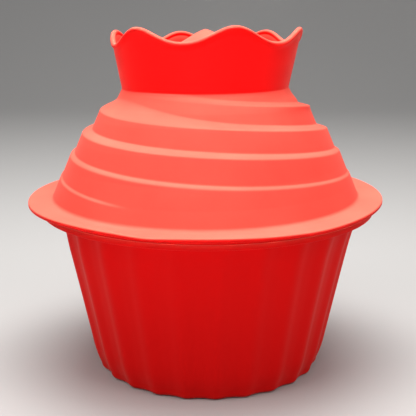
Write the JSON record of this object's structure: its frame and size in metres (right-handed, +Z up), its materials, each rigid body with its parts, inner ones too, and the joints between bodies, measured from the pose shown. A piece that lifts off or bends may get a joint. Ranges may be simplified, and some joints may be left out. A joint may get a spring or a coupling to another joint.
{
  "type": "giant cupcake bakeware mould set",
  "caption": "Closed set of flexible silicone bakeware: a fluted cup base, a hidden brimmed filling insert, and a swirled dome lid with a scalloped stand ring on top.",
  "frame": {"origin": "centre of the underside of the fluted base, on the common upright axis", "axes": "+Z up along the stack's axis, -Y the front, +X to the right seen from the front"},
  "size_m": [0.248, 0.248, 0.2398],
  "materials": {
    "red_silicone": "satin translucent moulded silicone"
  },
  "bodies": {
    "base": {"base_mould": "red_silicone"},
    "insert": {"filling_insert": "red_silicone"},
    "top": {"top_mould": "red_silicone"}
  },
  "joints": [
    {"name": "insert_lift", "type": "slide", "parent": "base", "child": "insert", "axis": [0, 0, 1], "range_m": [0, 0.12]},
    {"name": "top_lift", "type": "slide", "parent": "insert", "child": "top", "axis": [0, 0, 1], "range_m": [0, 0.16]}
  ]
}
